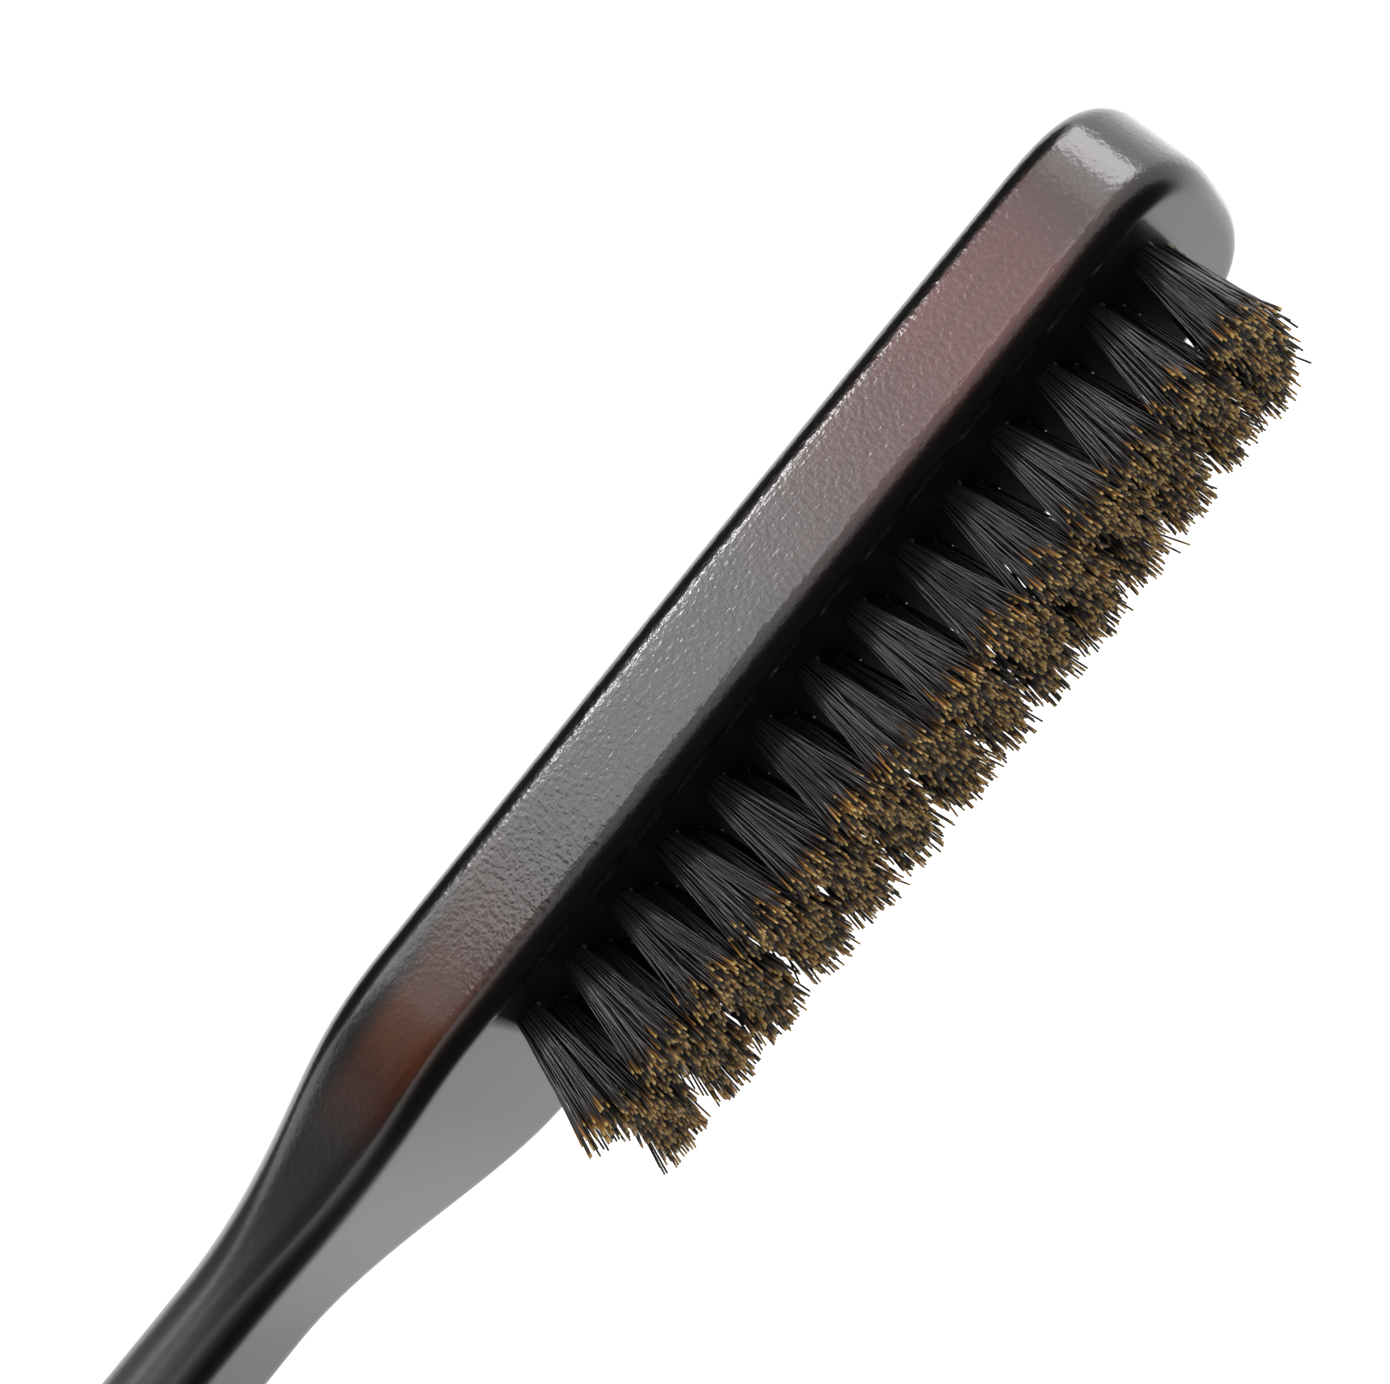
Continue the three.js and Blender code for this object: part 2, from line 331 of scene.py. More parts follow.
def sideOutline():
    b = brushBody
    headHalf, neckHalf, handleHalf = b["headWidth"] / 2, b["neckWidth"] / 2, b["handleWidth"] / 2
    endAt = b["length"] - b["handleEndRound"]
    handleEase = (endAt - neckAt) / 3
    points = []
    for i in range(bodyFineness["tip"] + 1):
        along, across = quarterPoint(i / bodyFineness["tip"], b["tipRound"], headHalf, b["tipPower"])
        points.append((placeAt(b["tipRound"] - along), across))
    for i in range(1, bodyFineness["lift"] + 1):
        share = i / bodyFineness["lift"]
        points.append((placeAt(b["tipRound"] + (b["tipLiftLength"] - b["tipRound"]) * share), headHalf))
    points += curvePoints(
        (placeAt(headEnd), headHalf), (placeAt(headEnd + b["neckHeadEase"]), headHalf),
        (placeAt(neckAt - b["neckHandleEase"]), neckHalf), (placeAt(neckAt), neckHalf), bodyFineness["neck"])
    points += curvePoints(
        (placeAt(neckAt), neckHalf), (placeAt(neckAt + handleEase), neckHalf),
        (placeAt(endAt - handleEase), handleHalf), (placeAt(endAt), handleHalf), bodyFineness["handle"])[1:]
    for i in reversed(range(bodyFineness["end"])):
        along, across = quarterPoint(
            i / bodyFineness["end"], b["handleEndRound"], handleHalf, b["handleEndPower"])
        points.append((placeAt(endAt + along), across))
    return points


def bodyRings():
    # Each ring: how far in from the outline it is, its height, and how much of the sanding wave it takes
    b = brushBody
    edge, wall = bodyFineness["edge"], bodyFineness["wall"]
    backEdge = lambda x: alongNeck(b["headBackEdge"], b["handleBackEdge"], x)
    faceEdge = lambda x: alongNeck(b["headFaceEdge"], b["handleFaceEdge"], x)
    rings = [(lambda x: backEdge(x) + b["flatBorder"], backHeight, 0.0)]
    for i in range(edge + 1):
        angle = i / edge * math.pi / 2
        rings.append((lambda x, s=math.sin(angle): backEdge(x) * (1 - s),
                      lambda x, c=math.cos(angle): backHeight(x) + backEdge(x) * (1 - c), math.sin(angle) ** 2))
    for i in range(1, wall):
        rings.append((lambda x: 0.0, lambda x, t=i / wall: (backHeight(x) + backEdge(x)) * (1 - t)
                      + (faceHeight(x) - faceEdge(x)) * t, 1.0))
    for i in range(edge + 1):
        angle = i / edge * math.pi / 2
        rings.append((lambda x, c=math.cos(angle): faceEdge(x) * (1 - c),
                      lambda x, s=math.sin(angle): faceHeight(x) - faceEdge(x) * (1 - s), math.cos(angle) ** 2))
    rings.append((lambda x: faceEdge(x) + b["flatBorder"], faceHeight, 0.0))
    return rings


def holePlaces(line):
    f = tuftField
    places = []
    for row in range(f["rows"]):
        across = outerRow - row * f["rowPitch"]
        bow = f["lineBow"] * (1 - (across / outerRow) ** 2)
        places.append((placeAt(f["tipMargin"] + line * f["linePitch"]) + bow, across))
    return places


def bodyBlank():
    left = sideOutline()
    outline = left + [(x, -y) for x, y in reversed(left[1:-1])]
    count = len(outline)
    outward = []
    for i in range(count):
        before, after = outline[i - 1], outline[(i + 1) % count]
        run = Vector((after[0] - before[0], after[1] - before[1])).normalized()
        outward.append((run.y, -run.x))
    rings = bodyRings()
    wave, waveLength = brushBody["sandingWave"], brushBody["waveLength"]
    verts = []
    for inset, height, waveShare in rings:
        for (x, y), (outX, outY) in zip(outline, outward):
            z = height(x)
            swell = noise.noise(Vector((x, y, z)) / waveLength) * wave * waveShare
            move = inset(x) + wave * waveShare - swell  # never past the true outline
            verts.append(((x - outX * move) * mm, (y - outY * move) * mm, height(x - outX * move) * mm))
    faces = []
    for ring in range(len(rings) - 1):
        for i in range(count):
            low, lowNext = ring * count + i, ring * count + (i + 1) % count
            faces.append((low, lowNext, lowNext + count, low + count))
    top = (len(rings) - 1) * count
    for i in range(count // 2):
        strip = [i, i + 1, count - i - 1, (count - i) % count]
        strip = list(dict.fromkeys(strip))
        faces.append([top + k for k in strip])
        faces.append(list(reversed(strip)))
    mesh = bpy.data.meshes.new("body_blank")
    mesh.from_pydata(verts, [], faces)
    return mesh


def drillBits():
    # One closed bit for each hole, standing a little above the face
    f = tuftField
    sides, radius = bodyFineness["hole"], f["holeDiameter"] / 2
    verts, faces = [], []
    for line in range(f["lines"]):
        for x, y in holePlaces(line):
            first = len(verts)
            for z in (f["drillAbove"], -f["holeDepth"]):
                for i in range(sides):
                    angle = i / sides * 2 * math.pi
                    verts.append(((x + radius * math.cos(angle)) * mm, (y + radius * math.sin(angle)) * mm,
                                  (brushBody["headThickness"] + z) * mm))
            verts.append((x * mm, y * mm, (brushBody["headThickness"] - f["holeDepth"] - f["drillPoint"]) * mm))
            faces.append([first + i for i in range(sides)])
            for i in range(sides):
                j = (i + 1) % sides
                faces.append([first + j, first + i, first + sides + i, first + sides + j])
                faces.append([first + sides + j, first + sides + i, first + 2 * sides])
    mesh = bpy.data.meshes.new("drill_bits")
    mesh.from_pydata(verts, [], faces)
    return mesh


# ---- Finishes

lacquer = {
    "paintedEdgeShade": "#090505",   # painted shade, nearly black, over the edges and the flats
    "stainAndHandReflectionAlong": (           # the stain along the sides, its brown where the head meets the neck partly a painted reflection of a hand: millimetres towards the tip, colour
        (-46, "#130e0d"), (-30, "#16100e"), (-13, "#150e0c"), (-6, "#43241a"), (0, "#5a301a"), (6, "#502b1c"),
        (11, "#3e211e"), (19, "#201716"), (44, "#211717"), (51, "#3f1f1f"), (58, "#52221f"), (70, "#642a27"),
        (78, "#602926"), (84, "#3e211f"), (90, "#140e0d")),
    "stainWander": 3.0,       # how far those colours wander, in millimetres
    "sideTilt": 0.15,         # the sides go over into the painted shade between these tilts towards the face
    "edgeTilt": 0.7,
    "backShade": 2.6,         # the painted shade comes this many times as soon where the surface faces the back
    "neckShadeTop": 5.2,      # at the neck the painted shade climbs the side to this height
    "headShadeTop": 2.6,      # and on the head to this one
    "shadeFade": 2.2,
    "grainShade": 0.35,       # how much darker the dense grain is
    "grainLength": 7.0,       # millimetres
    "grainWidth": 0.45,
    "poreLength": 1.3,
    "poreWidth": 0.2,         # drawn coarser than a real pore, which would not show
    "peelSize": 0.5,          # orange peel left by the sprayed lacquer
    "poreShare": 0.4,         # depth of the pores against the peel
    "relief": 0.04,
    "smoothUpTo": 4.0,        # the neck and the handle were sanded finer, and the head takes over by roughFrom
    "roughFrom": 16.0,
    "smoothRelief": 0.25,
    "flatRelief": 0.12,       # share of the relief left on the flats, which were rubbed down before spraying
    "rubbedFrom": 0.4,        # tilts between which a surface goes over from side to flat
    "rubbedBy": 0.9,
    "cloudSize": 14.0,        # millimetres across the clouds that shift the stain
    "looseGrain": 0.35,       # noise values between which the grain goes from loose to dense
    "denseGrain": 0.7,
    "gloss": 0.13,
    "wornGloss": 0.42,        # the handle is dulled by the hand, and its sides take a painted grey reflection, between the two places that follow
    "wornAndSheenFrom": -14.0,
    "wornAndSheenBy": -40.0,
    # painted grey reflection on the handle's sides
    "paintedHandleSheen": "#454144",
    "sheenFrom": 0.8,          # the painted grey reflection lies on the sides: none above this tilt, all of it below the next
    "sheenBy": 0.5,
    "fieldRoughness": 0.85,   # the ground between the tufts
    "woodRoughness": 0.3,
    "ior": 1.5,
    "fieldShine": 0.25,
    "woodShine": 0.5,
    "fieldStart": 0.5,        # the dull ground ends this far inside the outer holes' rims
    "fieldFade": 0.8,         # and is polished again this far outside them
    "borderFade": 0.3,
    "wallDepth": 1.0,         # the walls are polished from this far below the face
}


def lacqueredWood():
    # Stained beech under sprayed lacquer: near-black red brown, glossy, with the pores telegraphing through;
    # shade is painted over its edges, flats and lower sides
    material, tree = newMaterial("stained lacquered beech")
    place = addNode(tree, "ShaderNodeTexCoord").outputs["Object"]
    axes = addNode(tree, "ShaderNodeSeparateXYZ", {0: place})
    grainSize = Vector((1 / lacquer["grainLength"], 1 / lacquer["grainWidth"], 1 / lacquer["grainWidth"])) / mm
    poreSize = Vector((1 / lacquer["poreLength"], 1 / lacquer["poreWidth"], 1 / lacquer["poreWidth"])) / mm
    grain = addNode(tree, "ShaderNodeTexNoise", {
        "Vector": addNode(tree, "ShaderNodeMapping", {"Vector": place, "Scale": grainSize}),
        "Scale": 1.0, "Detail": 4.0, "Roughness": 0.6})
    cloud = addNode(tree, "ShaderNodeTexNoise", {
        "Vector": place, "Scale": 1 / (lacquer["cloudSize"] * mm), "Detail": 3.0})

    # Colour: the stain along the sides, with a painted reflection of a hand in the brown where the head meets
    # the neck, darker where the grain is dense, and painted shade, nearly black, where the surface turns
    # towards the face or the back and low on the sides
    stops = lacquer["stainAndHandReflectionAlong"]
    first, last = stops[0][0] * mm, stops[-1][0] * mm
    wander = addNode(tree, "ShaderNodeMath", {0: cloud, 1: 0.5}, operation="SUBTRACT")
    wandered = addNode(tree, "ShaderNodeMath", {
        0: wander, 1: 2 * lacquer["stainWander"] * mm, 2: axes.outputs["X"]}, operation="MULTIPLY_ADD")
    share = addNode(tree, "ShaderNodeMapRange", {"Value": wandered, "From Min": first, "From Max": last})
    ramp = addNode(tree, "ShaderNodeValToRGB", {"Fac": share})
    ramp.color_ramp.interpolation = "EASE"
    points = ramp.color_ramp.elements
    points[0].color, points[1].color = linearColour(stops[0][1]), linearColour(stops[-1][1])
    for at, colour in stops[1:-1]:
        points.new((at * mm - first) / (last - first)).color = linearColour(colour)
    facing = addNode(tree, "ShaderNodeSeparateXYZ", {0: addNode(tree, "ShaderNodeTexCoord").outputs["Normal"]})
    tilt = addNode(tree, "ShaderNodeMath", {0: facing.outputs["Z"]}, operation="ABSOLUTE")
    # Painted shade: the surface goes dark as it turns up towards the face, and sooner as it turns down towards
    # the back
    backwards = addNode(tree, "ShaderNodeMath", {0: facing.outputs["Z"], 1: -lacquer["backShade"]},
                        operation="MULTIPLY")
    shaded = addNode(tree, "ShaderNodeMath", {0: facing.outputs["Z"], 1: backwards}, operation="MAXIMUM")
    unshadedSide = addNode(tree, "ShaderNodeMapRange", {
        "Value": shaded, "From Min": lacquer["sideTilt"], "From Max": lacquer["edgeTilt"],
        "To Min": 1.0, "To Max": 0.0}, interpolation_type="SMOOTHSTEP")
    # Painted shade low on the sides, climbing higher at the neck
    shadeTop = addNode(tree, "ShaderNodeMapRange", {
        "Value": axes.outputs["X"],
        "From Min": lacquer["smoothUpTo"] * mm, "From Max": lacquer["roughFrom"] * mm,
        "To Min": lacquer["neckShadeTop"] * mm, "To Max": lacquer["headShadeTop"] * mm})
    shadeStart = addNode(tree, "ShaderNodeMath", {0: shadeTop, 1: lacquer["shadeFade"] * mm},
                         operation="SUBTRACT")
    clear = addNode(tree, "ShaderNodeMapRange", {
        "Value": axes.outputs["Z"], "From Min": shadeStart, "From Max": shadeTop},
        interpolation_type="SMOOTHSTEP")
    unshadedSide = addNode(tree, "ShaderNodeMath", {0: unshadedSide, 1: clear}, operation="MULTIPLY")
    dense = addNode(tree, "ShaderNodeMapRange", {
        "Value": grain, "From Min": lacquer["looseGrain"], "From Max": lacquer["denseGrain"],
        "To Min": 1.0, "To Max": 1 - lacquer["grainShade"]})
    stained = addNode(tree, "ShaderNodeMath", {0: unshadedSide, 1: dense}, operation="MULTIPLY")
    colour = addNode(tree, "ShaderNodeMix", {
        "Factor": stained, "A": linearColour(lacquer["paintedEdgeShade"]), "B": ramp}, data_type="RGBA")

    # Relief: open pores and orange peel under the lacquer
    pores = addNode(tree, "ShaderNodeTexNoise", {
        "Vector": addNode(tree, "ShaderNodeMapping", {"Vector": place, "Scale": poreSize}),
        "Scale": 1.0, "Detail": 2.0})
    peel = addNode(tree, "ShaderNodeTexNoise", {
        "Vector": place, "Scale": 1 / (lacquer["peelSize"] * mm), "Detail": 1.5})
    relief = addNode(tree, "ShaderNodeMath", {0: pores, 1: lacquer["poreShare"], 2: peel},
                     operation="MULTIPLY_ADD")
    rubbed = addNode(tree, "ShaderNodeMapRange", {
        "Value": tilt, "From Min": lacquer["rubbedFrom"], "From Max": lacquer["rubbedBy"],
        "To Min": 1.0, "To Max": lacquer["flatRelief"]})
    sanded = addNode(tree, "ShaderNodeMapRange", {
        "Value": axes.outputs["X"],
        "From Min": lacquer["smoothUpTo"] * mm, "From Max": lacquer["roughFrom"] * mm,
        "To Min": lacquer["smoothRelief"], "To Max": 1.0})
    strength = addNode(tree, "ShaderNodeMath", {0: rubbed, 1: sanded}, operation="MULTIPLY")
    bump = addNode(tree, "ShaderNodeBump", {
        "Strength": strength, "Distance": lacquer["relief"] * mm, "Height": relief})

    # The lacquer is dull and dusty on the ground between the tufts, where no cloth can polish it
    sideways = addNode(tree, "ShaderNodeMath", {0: axes.outputs["Y"]}, operation="ABSOLUTE")
    fieldHigh = holePlaces(0)[0][0] + tuftField["holeDiameter"] / 2
    fieldLow = holePlaces(tuftField["lines"] - 1)[0][0] - tuftField["holeDiameter"] / 2
    flatHalf = brushBody["headWidth"] / 2 - brushBody["headFaceEdge"]
    polish = None
    inside, outside, border = lacquer["fieldStart"], lacquer["fieldFade"], lacquer["borderFade"]
    for value, start, end in ((axes.outputs["X"], fieldHigh - inside, fieldHigh + outside),
                              (axes.outputs["X"], fieldLow + inside, fieldLow - outside),
                              (sideways, flatHalf - border, flatHalf)):
        clear = addNode(tree, "ShaderNodeMapRange", {
            "Value": value, "From Min": start * mm, "From Max": end * mm})
        polish = clear if polish is None else addNode(
            tree, "ShaderNodeMath", {0: polish, 1: clear}, operation="MAXIMUM")
    low = addNode(tree, "ShaderNodeMapRange", {
        "Value": axes.outputs["Z"], "From Min": (brushBody["headThickness"] - border) * mm,
        "From Max": (brushBody["headThickness"] - lacquer["wallDepth"]) * mm})
    polish = addNode(tree, "ShaderNodeMath", {0: polish, 1: low}, operation="MAXIMUM")
    gloss = addNode(tree, "ShaderNodeMapRange", {
        "Value": polish, "To Min": lacquer["fieldRoughness"], "To Max": lacquer["woodRoughness"]})
    shine = addNode(tree, "ShaderNodeMapRange", {
        "Value": polish, "To Min": lacquer["fieldShine"], "To Max": lacquer["woodShine"]})
    wornAndSheen = addNode(tree, "ShaderNodeMapRange", {
        "Value": axes.outputs["X"], "From Min": lacquer["wornAndSheenFrom"] * mm, "From Max": lacquer["wornAndSheenBy"] * mm})
    dulled = addNode(tree, "ShaderNodeMapRange", {
        "Value": wornAndSheen, "To Min": lacquer["gloss"], "To Max": lacquer["wornGloss"]})
    # Painted grey reflection on the handle's sides, mixed over the colour where the lacquer is dulled
    held = addNode(tree, "ShaderNodeMapRange", {
        "Value": tilt, "From Min": lacquer["sheenFrom"], "From Max": lacquer["sheenBy"]})
    sheenMask = addNode(tree, "ShaderNodeMath", {0: wornAndSheen, 1: held}, operation="MULTIPLY")
    colour = addNode(tree, "ShaderNodeMix", {
        "Factor": sheenMask, "A": colour.outputs[2], "B": linearColour(lacquer["paintedHandleSheen"])}, data_type="RGBA")
    surface = addNode(tree, "ShaderNodeBsdfPrincipled", {
        "Base Color": colour.outputs[2], "Roughness": gloss, "IOR": lacquer["ior"], "Specular IOR Level": shine,
        "Normal": bump, "Coat Weight": polish, "Coat Roughness": dulled, "Coat IOR": lacquer["ior"],
        "Coat Normal": bump})
    addNode(tree, "ShaderNodeOutputMaterial", {"Surface": surface})
    return material


bristleColours = {
    "dyeEnd": 0.80,       # share of the length at which the earliest dye ends
    "dyeSpread": 0.26,
    "dyed": "#221f1f",
    "fadeAt": 0.25,       # places of the two middle colours, as shares of the undyed end
    "fade": "#4a2a0e",
    "blondAt": 0.6,
    "blond": "#ad7426",
    "end": "#d29c48",
    "cutFrom": 0.965,     # the cut face and the scuffed last of the length are paler still
    "cutTo": 0.99,
    "cut": "#f2ca7c",
    "paleUpTo": 0.35,     # tint above which the cut turns from pale to dark
    "darkFrom": 0.75,
    "darkShare": 0.12,    # how much of the pale cut those keep
    "roughness": 0.28,
    "ior": 1.62,
}


def boarBristle():
    # Boar hair dyed black, its ends left blond: smooth and faintly shiny, with pale cut ends
    material, tree = newMaterial("dyed boar bristle")
    along = addNode(tree, "ShaderNodeAttribute", attribute_name="along").outputs["Fac"]
    tint = addNode(tree, "ShaderNodeAttribute", attribute_name="tint").outputs["Fac"]
    # The dye ends at its own place on each bristle, and a few are black to the end
    shift = addNode(tree, "ShaderNodeMath", {0: tint, 1: -bristleColours["dyeSpread"], 2: along},
                    operation="MULTIPLY_ADD")
    ramp = addNode(tree, "ShaderNodeValToRGB", {"Fac": shift})
    stops = ramp.color_ramp.elements
    stops[0].position, stops[0].color = bristleColours["dyeEnd"], linearColour(bristleColours["dyed"])
    stops[1].position, stops[1].color = 1.0, linearColour(bristleColours["end"])
    for name in ("fade", "blond"):
        undyed = 1 - bristleColours["dyeEnd"]
        stop = stops.new(bristleColours["dyeEnd"] + undyed * bristleColours[name + "At"])
        stop.color = linearColour(bristleColours[name])
    cut = addNode(tree, "ShaderNodeMapRange", {
        "Value": along, "From Min": bristleColours["cutFrom"], "From Max": bristleColours["cutTo"]})
    pale = addNode(tree, "ShaderNodeMapRange", {
        "Value": tint, "From Min": bristleColours["paleUpTo"], "From Max": bristleColours["darkFrom"],
        "To Min": 1.0, "To Max": bristleColours["darkShare"]})
    paleCut = addNode(tree, "ShaderNodeMath", {0: cut, 1: pale}, operation="MULTIPLY")
    colour = addNode(tree, "ShaderNodeMix", {
        "Factor": paleCut, "A": ramp, "B": linearColour(bristleColours["cut"])}, data_type="RGBA")
    surface = addNode(tree, "ShaderNodeBsdfPrincipled", {
        "Base Color": colour.outputs[2],
        "Roughness": bristleColours["roughness"], "IOR": bristleColours["ior"]})
    addNode(tree, "ShaderNodeOutputMaterial", {"Surface": surface})
    return material


def drawnWire():
    # Bright drawn wire: pale brassy metal, polished by the die
    material, tree = newMaterial("bright drawn wire")
    surface = addNode(tree, "ShaderNodeBsdfPrincipled", {
        "Base Color": linearColour("#d9cfae"), "Metallic": 1.0, "Roughness": 0.28})
    addNode(tree, "ShaderNodeOutputMaterial", {"Surface": surface})
    return material


def makeBody(material):
    blank = makeObject("wooden_body", bodyBlank(), material)
    bits = makeObject("drill_bits", drillBits())
    cut = blank.modifiers.new("holes", "BOOLEAN")
    cut.operation = "DIFFERENCE"
    cut.solver = "EXACT"
    cut.object = bits
    mesh = plainMesh(blank, "wooden_body")
    blank.modifiers.clear()
    blank.data = mesh
    bpy.data.objects.remove(bits)
    mesh.shade_smooth()
    mesh.set_sharp_from_angle(angle=math.radians(brushBody["sharpAngle"]))
    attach(blank, "root")
    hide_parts("brush_body")
    print("wooden body:", len(mesh.polygons), "faces")


# ---- Tufts

tuft = {
    "bristles": 116,
    "thickness": 0.205,
    "endThickness": 0.2,
    "length": 12.8,       # above the face
    "tipTrim": 0.9,       # the first line is cut this much shorter, fading over trimLines
    "trimLines": 5,
    "lengthSpread": 2.3,
    "lossPower": 1.7,     # above 1 most bristles are nearly full length and only a few are short
    "crown": 0.5,         # the middle of a tuft stands this much prouder
    "inHole": 3.0,        # how deep the drawn part of a bristle starts
    "rootRadius": 1.05,
    "flareAlong": 2.75,   # how many times wider the ends are than the root
    "flareAcross": 2.2,
    "sway": 2.5,          # each tuft stands up to this many degrees off its true lean
    "opening": 0.78,      # below 1 a tuft opens early, above 1 it opens late
    "swirl": 0.6,         # how far chance turns a bristle about its tuft, in radians
    "outerLean": 5.0,     # degrees that the outer rows are pushed outwards
    "neckLean": 8.0,
    "leanLines": 3,
    "tipLean": 4.5,
    "bend": 0.9,
    "strays": 0.02,       # share of bristles that stand out from their tuft
    "strayBend": 2.2,
    "sides": 5,
    "rings": 6,
}


def startTree(name, inputs):
    tree = bpy.data.node_groups.new(name, "GeometryNodeTree")
    tree.interface.new_socket("Geometry", in_out="OUTPUT", socket_type="NodeSocketGeometry")
    tree.interface.new_socket("Places", in_out="INPUT", socket_type="NodeSocketGeometry")
    for title, kind in inputs:
        tree.interface.new_socket(title, in_out="INPUT", socket_type="NodeSocket" + kind)
    return tree, addNode(tree, "NodeGroupInput").outputs


def endTree(tree, geometry, material):
    whole = addNode(tree, "GeometryNodeRealizeInstances", {"Geometry": geometry})
    smooth = addNode(tree, "GeometryNodeSetShadeSmooth", {"Geometry": whole})
    painted = addNode(tree, "GeometryNodeSetMaterial", {"Geometry": smooth, "Material": material})
    addNode(tree, "NodeGroupOutput", {"Geometry": painted})
    return tree


def bristleTree(material):
    # Each place is a tuft's root, with the attributes flare, lean and trim. The result is one solid a bristle.
    tree, given = startTree("tuft of bristles", (
        ("Bristles", "Int"), ("Sides", "Int"), ("Rings", "Int"), ("Seed", "Int"), ("Root Radius", "Float"),
        ("Thickness", "Float"), ("End Thickness", "Float"), ("Length", "Float"), ("Length Spread", "Float"),
        ("Loss Power", "Float"), ("Crown", "Float"), ("In Hole", "Float"), ("Opening", "Float"),
        ("Swirl", "Float"), ("Bend", "Float"), ("Stray Share", "Float"), ("Stray Bend", "Float")))

    # Many bristles at each root, spread evenly over the hole by the golden angle
    many = addNode(tree, "GeometryNodeDuplicateElements", {0: given["Places"], 2: given["Bristles"]},
                   domain="POINT")
    number = many.outputs["Duplicate Index"]
    index = addNode(tree, "GeometryNodeInputIndex")
    step = addNode(tree, "ShaderNodeMath", {0: number, 1: 0.5}, operation="ADD")
    share = addNode(tree, "ShaderNodeMath", {0: step, 1: given["Bristles"]}, operation="DIVIDE")
    reach = addNode(tree, "ShaderNodeMath", {0: share}, operation="SQRT")
    radius = addNode(tree, "ShaderNodeMath", {0: reach, 1: given["Root Radius"]}, operation="MULTIPLY")
    otherWay = addNode(tree, "ShaderNodeMath", {0: given["Swirl"], 1: -1.0}, operation="MULTIPLY")
    jitter = addNode(tree, "FunctionNodeRandomValue", {
        2: otherWay, 3: given["Swirl"], "ID": index, "Seed": given["Seed"]}, data_type="FLOAT")
    angle = addNode(tree, "ShaderNodeMath", {0: number, 1: math.pi * (3 - 5 ** 0.5), 2: jitter},
                    operation="MULTIPLY_ADD")
    cosine = addNode(tree, "ShaderNodeMath", {0: angle}, operation="COSINE")
    sine = addNode(tree, "ShaderNodeMath", {0: angle}, operation="SINE")
    unitWay = addNode(tree, "ShaderNodeCombineXYZ", {"X": cosine, "Y": sine})
    offset = addNode(tree, "ShaderNodeVectorMath", {0: unitWay, "Scale": radius}, operation="SCALE")

    # Chance gives each bristle its length, its bend and its tint
    seeds = [addNode(tree, "ShaderNodeMath", {0: given["Seed"], 1: float(k)}, operation="ADD")
             for k in range(1, 5)]
    chance = addNode(tree, "FunctionNodeRandomValue", {
        2: 0.0, 3: 1.0, "ID": index, "Seed": seeds[0]}, data_type="FLOAT")
    loss = addNode(tree, "ShaderNodeMath", {0: chance, 1: given["Loss Power"]}, operation="POWER")
    crown = addNode(tree, "ShaderNodeMath", {0: share, 1: given["Crown"]}, operation="MULTIPLY")
    cut = addNode(tree, "ShaderNodeMath", {0: loss, 1: given["Length Spread"], 2: crown},
                  operation="MULTIPLY_ADD")
    trim = addNode(tree, "GeometryNodeInputNamedAttribute", {"Name": "trim"}, data_type="FLOAT")
    lost = addNode(tree, "ShaderNodeMath", {0: cut, 1: trim}, operation="ADD")
    exposed = addNode(tree, "ShaderNodeMath", {0: given["Length"], 1: lost}, operation="SUBTRACT")
    bendWay = addNode(tree, "FunctionNodeRandomValue", {
        0: (-1.0, -1.0, 0.0), 1: (1.0, 1.0, 0.0), "ID": index, "Seed": seeds[1]}, data_type="FLOAT_VECTOR")
    luck = addNode(tree, "FunctionNodeRandomValue", {
        2: 0.0, 3: 1.0, "ID": index, "Seed": seeds[2]}, data_type="FLOAT")
    isStray = addNode(tree, "ShaderNodeMath", {0: luck, 1: given["Stray Share"]}, operation="LESS_THAN")
    bendSize = addNode(tree, "ShaderNodeMath", {0: isStray, 1: given["Stray Bend"], 2: given["Bend"]},
                       operation="MULTIPLY_ADD")
    bend = addNode(tree, "ShaderNodeVectorMath", {0: bendWay, "Scale": bendSize}, operation="SCALE")
    tint = addNode(tree, "FunctionNodeRandomValue", {
        2: 0.0, 3: 1.0, "ID": index, "Seed": seeds[3]}, data_type="FLOAT")
    root = addNode(tree, "GeometryNodeInputPosition")
    points = many
    for name, value, kind in (("offset", offset, "FLOAT_VECTOR"), ("bend", bend, "FLOAT_VECTOR"),
                              ("root", root, "FLOAT_VECTOR"), ("exposed", exposed, "FLOAT"),
                              ("tint", tint, "FLOAT")):
        points = addNode(tree, "GeometryNodeStoreNamedAttribute", {
            "Geometry": points, "Name": name, "Value": value}, data_type=kind, domain="POINT")

    # One bristle of unit size, which remembers its own shape
    rod = addNode(tree, "GeometryNodeMeshCylinder", {
        "Vertices": given["Sides"], "Side Segments": given["Rings"], "Radius": 1.0, "Depth": 1.0},
        fill_type="NGON")
    rod = addNode(tree, "GeometryNodeStoreNamedAttribute", {
        "Geometry": rod, "Name": "unit", "Value": root}, data_type="FLOAT_VECTOR", domain="POINT")
    placed = addNode(tree, "GeometryNodeInstanceOnPoints", {"Points": points, "Instance": rod})
    rods = addNode(tree, "GeometryNodeRealizeInstances", {"Geometry": placed})

